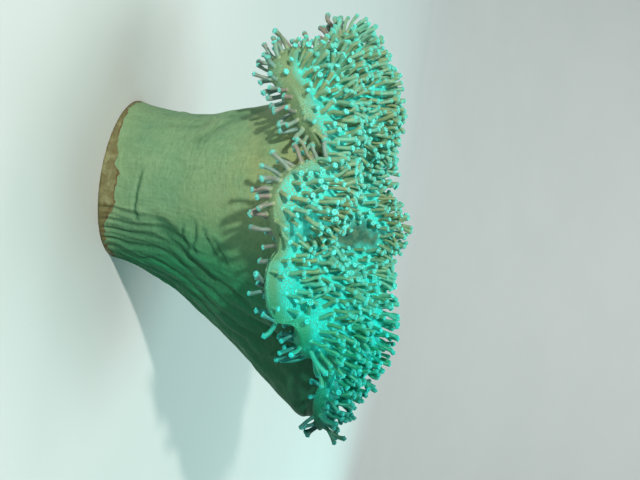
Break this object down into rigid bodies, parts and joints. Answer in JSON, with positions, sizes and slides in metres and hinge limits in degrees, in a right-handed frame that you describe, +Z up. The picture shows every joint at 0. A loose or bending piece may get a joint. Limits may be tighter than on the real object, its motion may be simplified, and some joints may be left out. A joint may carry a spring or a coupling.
{
  "type": "toadstool leather coral",
  "caption": "Life-size still model of a toadstool leather coral: a broad wrinkled stalk on a flat foot flares into a folded, lobed crown with open polyps.",
  "frame": {"origin": "middle of the foot's flat underside", "axes": "+Z up the stalk, +X towards the longest lobe of the crown, -Y towards the deepest crease, which is the side seen first"},
  "size_m": [0.2241, 0.19, 0.15],
  "materials": {
    "crown_flesh": "soft moist flesh",
    "stalk_flesh": "leathery moist flesh",
    "foot_flesh": "leathery stained flesh"
  },
  "bodies": {
    "root": {"foot": "foot_flesh", "stalk_lower": "stalk_flesh", "stalk_upper": "stalk_flesh", "crown_middle": "crown_flesh", "lobe_right": "crown_flesh", "lobe_right_back": "crown_flesh", "lobe_back_right": "crown_flesh", "lobe_back": "crown_flesh", "lobe_back_left": "crown_flesh", "lobe_left_back": "crown_flesh", "lobe_left_front": "crown_flesh", "lobe_front_left": "crown_flesh", "lobe_front": "crown_flesh", "lobe_front_right": "crown_flesh"}
  },
  "joints": []
}
